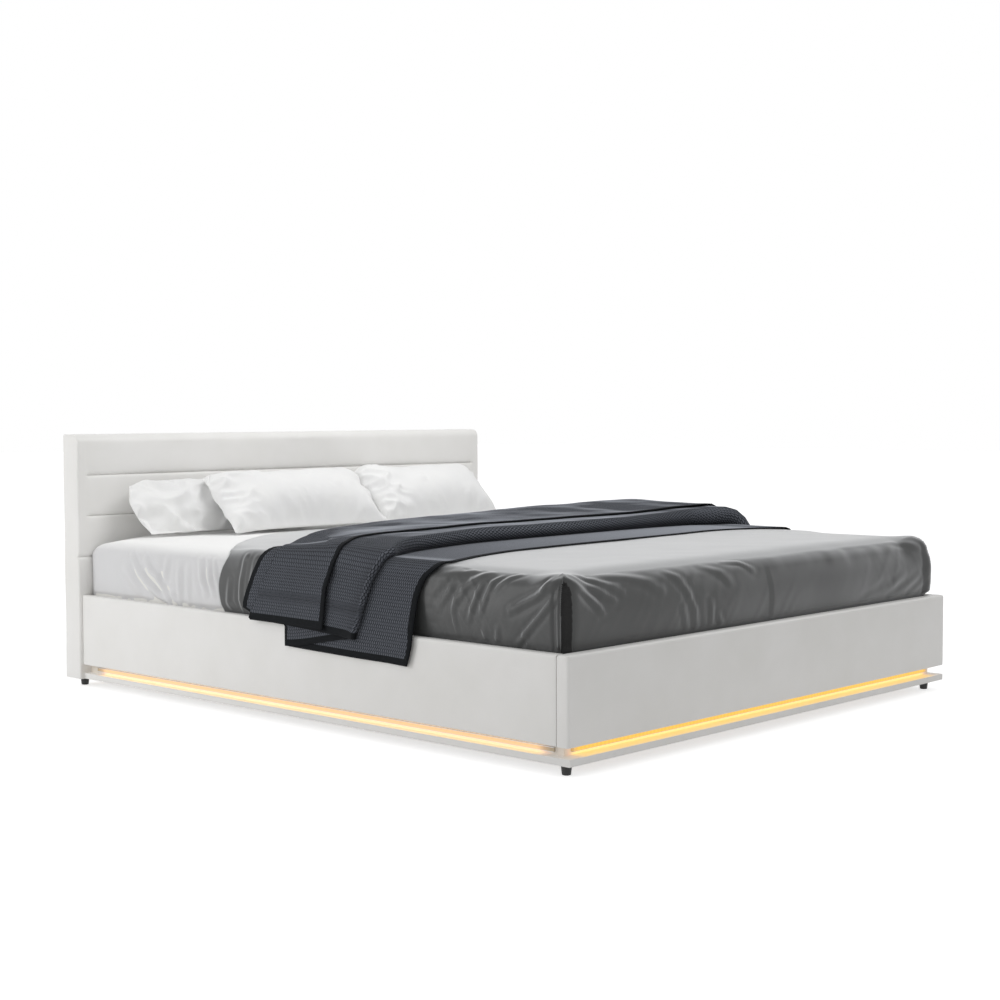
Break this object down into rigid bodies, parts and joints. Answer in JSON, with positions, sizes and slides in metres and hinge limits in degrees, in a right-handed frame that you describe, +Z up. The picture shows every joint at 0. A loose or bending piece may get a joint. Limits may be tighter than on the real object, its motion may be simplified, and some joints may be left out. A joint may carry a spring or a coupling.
{
  "type": "leather bed",
  "caption": "Upholstered double bed with channelled headboard, lit plinth and a storage box under a level-lift mattress base, dressed with bedding.",
  "frame": {"origin": "on the floor, under the middle of the whole bed", "axes": "+Z up, +Y towards the headboard, X across the bed; the foot end faces -Y"},
  "size_m": [1.9232, 2.177, 0.831],
  "materials": {
    "white_leather": "satin",
    "plywood": "matte",
    "dust_cloth": "matte",
    "recess_laminate": "satin",
    "timber": "matte",
    "slat_wood": "satin",
    "profile_aluminium": "satin",
    "led_glow": "satin",
    "black_plastic": "satin",
    "zinc_steel": "satin",
    "chrome_rod": "polished",
    "ticking": "matte",
    "white_cotton": "matte",
    "grey_satin": "satin",
    "slate_knit": "matte",
    "black_steel": "satin"
  },
  "bodies": {
    "frame": {"centre_feet": "black_plastic", "corner_brackets": "black_steel", "corner_feet": "black_plastic", "cross_battens": "timber", "floor_boards": "plywood", "foot_ledge": "white_leather", "foot_rail_board": "timber", "foot_rail_cover": "white_leather", "foot_recess_board": "recess_laminate", "frame_bolts": "zinc_steel", "hardware_screws": "zinc_steel", "headboard_back_cloth": "dust_cloth", "headboard_bottom_rail": "timber", "headboard_channel_1": "white_leather", "headboard_channel_2": "white_leather", "headboard_channel_3": "white_leather", "headboard_channel_4": "white_leather", "headboard_channel_5": "white_leather", "headboard_channel_6": "white_leather", "headboard_left_side": "white_leather", "headboard_middle_rail": "timber", "headboard_panel": "plywood", "headboard_posts": "timber", "headboard_right_side": "white_leather", "headboard_top_band": "white_leather", "headboard_top_rail": "timber", "led_diffusers": "led_glow", "led_driver": "black_plastic", "led_profiles": "profile_aluminium", "led_tapes": "led_glow", "left_ledge": "white_leather", "left_rail_board": "timber", "left_rail_cover": "white_leather", "left_recess_board": "recess_laminate", "lift_base_plates": "black_steel", "lower_pivot_pins": "zinc_steel", "platform_rests": "black_steel", "right_ledge": "white_leather", "right_rail_board": "timber", "right_rail_cover": "white_leather", "right_recess_board": "recess_laminate"},
    "platform": {"duvet": "grey_satin", "fitted_sheet": "white_cotton", "mattress": "ticking", "pillow_back_left": "white_cotton", "pillow_back_right": "white_cotton", "pillow_front_left": "white_cotton", "pillow_front_right": "white_cotton", "pivot_brackets": "black_steel", "platform_centre_tubes": "black_steel", "platform_cross_tubes": "black_steel", "platform_side_tubes": "black_steel", "slat_holders": "black_plastic", "slats": "slat_wood", "throw": "slate_knit", "upper_pivot_pins": "zinc_steel"},
    "front_links": {"front_links": "black_steel"},
    "gas_cylinders": {"gas_cylinders": "black_steel"},
    "gas_rods": {"gas_rods": "chrome_rod"},
    "rear_links": {"rear_links": "black_steel"}
  },
  "joints": [
    {"name": "rear_link_hinge", "type": "hinge", "parent": "frame", "child": "rear_links", "pos_m": [0, 0.258, 0.22], "axis": [1, 0, 0], "range_deg": [0, 47]},
    {"name": "platform_hinge", "type": "hinge", "parent": "rear_links", "child": "platform", "pos_m": [0, 0.67487, 0.16881], "axis": [-1, 0, 0], "range_deg": [0, 47]},
    {"name": "front_link_hinge", "type": "hinge", "parent": "frame", "child": "front_links", "pos_m": [0, -0.742, 0.22], "axis": [1, 0, 0], "range_deg": [0, 47]},
    {"name": "spring_hinge", "type": "hinge", "parent": "frame", "child": "gas_cylinders", "pos_m": [0, 0.2428, 0.157], "axis": [1, 0, 0], "range_deg": [0, 40.1]},
    {"name": "spring_slide", "type": "slide", "parent": "gas_cylinders", "child": "gas_rods", "axis": [0, 0.9996, 0.029], "range_m": [0, 0.0451]}
  ],
  "couplings": [
    {"joint": "rear_link_hinge", "follows": "platform_hinge", "ratio": 1},
    {"joint": "front_link_hinge", "follows": "platform_hinge", "ratio": 1},
    {"joint": "spring_hinge", "follows": "platform_hinge", "ratio": 0.85204},
    {"joint": "spring_slide", "follows": "platform_hinge", "m_per_rad": 0.054858}
  ]
}
